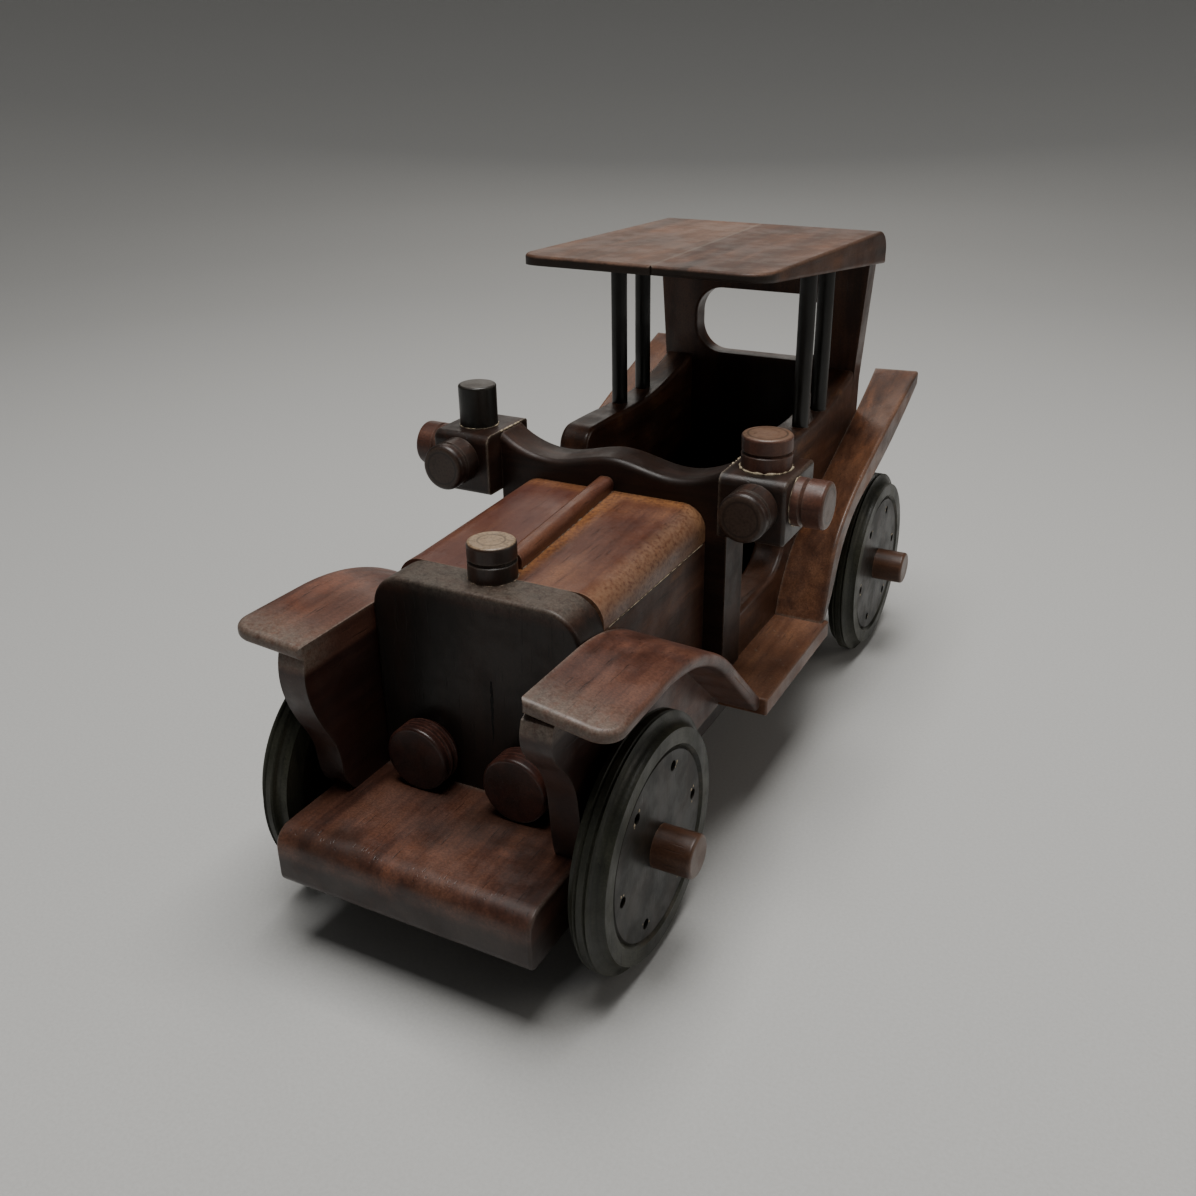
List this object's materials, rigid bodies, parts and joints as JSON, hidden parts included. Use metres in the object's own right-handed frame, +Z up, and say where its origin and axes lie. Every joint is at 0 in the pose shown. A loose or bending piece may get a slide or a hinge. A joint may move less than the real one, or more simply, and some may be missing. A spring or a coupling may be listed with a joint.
{
  "type": "wooden model car",
  "caption": "Hand-made dark wooden model of an early open car: board chassis, bonnet, curved fenders, roofed cabin and free-rolling wheels on axles.",
  "frame": {"origin": "on the ground under the middle of the car's length and width", "axes": "+Z up, the nose points along -Y, +X is the car's left-hand side"},
  "size_m": [0.146, 0.2992, 0.1744],
  "materials": {
    "body_wood": "dark reddish-brown stain under worn semi-gloss lacquer",
    "peg_wood": "dark brown stained turned dowels, worn at the rims",
    "wheel_wood": "near-black stained turned wood, satin"
  },
  "bodies": {
    "car": {"body_side_left": "body_wood", "body_side_right": "body_wood", "bonnet_rib": "body_wood", "bonnet_top": "body_wood", "chassis_board": "body_wood", "engine_block": "body_wood", "firewall": "body_wood", "floor_board": "body_wood", "front_fender_left": "body_wood", "front_fender_right": "body_wood", "headlamp_left": "peg_wood", "headlamp_right": "peg_wood", "lamp_front_peg_left": "peg_wood", "lamp_front_peg_right": "peg_wood", "lamp_outer_peg_left": "peg_wood", "lamp_outer_peg_right": "peg_wood", "lamp_top_peg_left": "peg_wood", "lamp_top_peg_right": "peg_wood", "radiator_cap": "peg_wood", "radiator_plate": "body_wood", "rear_fender_left": "body_wood", "rear_fender_right": "body_wood", "rear_panel": "body_wood", "roof_board_left": "body_wood", "roof_board_right": "body_wood", "roof_post_front_left": "body_wood", "roof_post_front_right": "body_wood", "roof_post_rear_left": "body_wood", "roof_post_rear_right": "body_wood", "running_board": "body_wood", "side_lamp_left": "body_wood", "side_lamp_right": "body_wood"},
    "front_wheelset": {"axle_front": "peg_wood", "hub_peg_front_left": "peg_wood", "hub_peg_front_right": "peg_wood", "wheel_front_left": "wheel_wood", "wheel_front_right": "wheel_wood"},
    "rear_wheelset": {"axle_rear": "peg_wood", "hub_peg_rear_left": "peg_wood", "hub_peg_rear_right": "peg_wood", "wheel_rear_left": "wheel_wood", "wheel_rear_right": "wheel_wood"}
  },
  "joints": [
    {"name": "front_wheels_roll", "type": "hinge", "parent": "car", "child": "front_wheelset", "pos_m": [0, -0.1036, 0.0375], "axis": [1, 0, 0], "continuous": true},
    {"name": "rear_wheels_roll", "type": "hinge", "parent": "car", "child": "rear_wheelset", "pos_m": [0, 0.1121, 0.0375], "axis": [1, 0, 0], "continuous": true}
  ]
}
